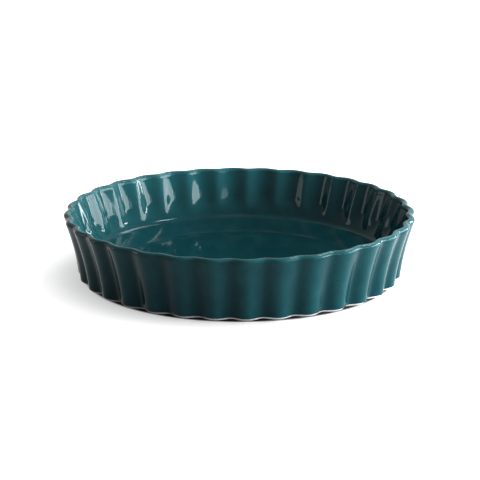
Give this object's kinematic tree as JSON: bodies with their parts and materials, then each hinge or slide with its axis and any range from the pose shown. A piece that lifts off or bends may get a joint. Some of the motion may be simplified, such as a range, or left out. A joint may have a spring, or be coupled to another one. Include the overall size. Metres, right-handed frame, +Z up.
{
  "type": "pie dish",
  "caption": "Round fluted ceramic pie dish with a flared scalloped wall, coved inside, shallow floor well and a bare foot ring under a gloss teal glaze.",
  "frame": {"origin": "centre of the foot ring, on the surface that the dish stands on", "axes": "+Z up along the dish's axis, out of its mouth; +X through a flute's crest"},
  "size_m": [0.285, 0.285, 0.054],
  "materials": {
    "stoneware": "fired, unglazed, fine matt grain",
    "glaze": "gloss teal glaze, thinner on edges and darker where it pools"
  },
  "bodies": {
    "root": {"stoneware_body": "stoneware", "glaze_coat": "glaze", "base_glaze": "glaze"}
  },
  "joints": []
}
